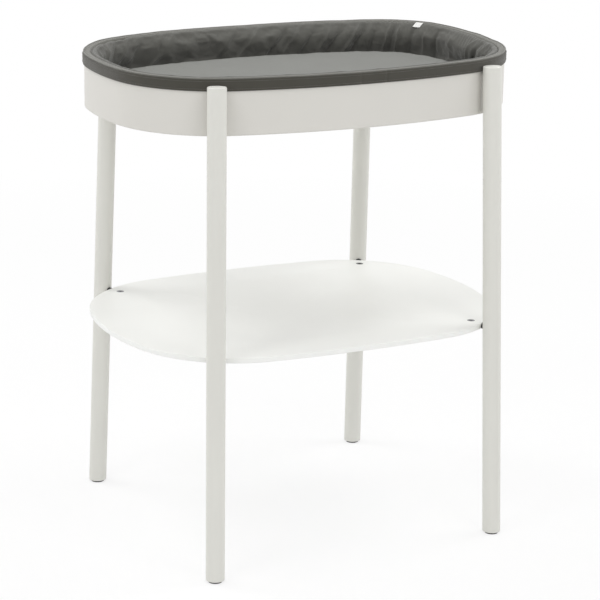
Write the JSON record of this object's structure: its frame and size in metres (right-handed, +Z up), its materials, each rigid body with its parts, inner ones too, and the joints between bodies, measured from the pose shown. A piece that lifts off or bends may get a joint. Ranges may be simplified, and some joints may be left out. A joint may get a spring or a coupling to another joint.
{
  "type": "changing table",
  "caption": "Oval changing table: a bent hoop on splayed round legs with a dished shelf below and a lift-out textile liner and mat.",
  "frame": {"origin": "on the floor, under the middle of the hoop", "axes": "+Z up, +X along the hoop's long side to the user's right, +Y to the back"},
  "size_m": [0.806, 0.6136, 0.924],
  "materials": {
    "lacquered_band": "satin lacquer",
    "lacquered_legs": "satin lacquer",
    "lacquered_shelf": "satin lacquer",
    "dark_plastic": "moulded",
    "liner_fabric": "woven",
    "piping_fabric": "folded edge",
    "tab_fabric": "plain ribbon",
    "mat_fabric": "woven",
    "foam": "open-cell foam",
    "zinc_steel": "zinc plated"
  },
  "bodies": {
    "frame": {"base_panel": "lacquered_band", "cam_dowels": "zinc_steel", "cam_nuts": "zinc_steel", "glides": "dark_plastic", "hoop": "lacquered_band", "hoop_bolts": "zinc_steel", "leg_front_left": "lacquered_legs", "leg_front_right": "lacquered_legs", "leg_rear_left": "lacquered_legs", "leg_rear_right": "lacquered_legs", "leg_saddle_front_left": "dark_plastic", "leg_saddle_front_right": "dark_plastic", "leg_saddle_rear_left": "dark_plastic", "leg_saddle_rear_right": "dark_plastic", "panel_cleat_front_left": "lacquered_band", "panel_cleat_front_right": "lacquered_band", "panel_cleat_left_end": "lacquered_band", "panel_cleat_rear_left": "lacquered_band", "panel_cleat_rear_right": "lacquered_band", "panel_cleat_right_end": "lacquered_band", "shelf": "lacquered_shelf", "shelf_spacers": "dark_plastic"},
    "liner": {"liner_rim": "liner_fabric", "liner_piping": "piping_fabric", "liner_wall": "liner_fabric", "liner_floor": "liner_fabric", "label_tab": "tab_fabric"},
    "mat": {"mat_cover": "mat_fabric", "mat_foam": "foam"}
  },
  "joints": [
    {"name": "liner_lift", "type": "slide", "parent": "frame", "child": "liner", "axis": [0, 0, 1], "range_m": [0, 0.12]},
    {"name": "mat_lift", "type": "slide", "parent": "liner", "child": "mat", "axis": [0, 0, 1], "range_m": [0, 0.12]}
  ]
}
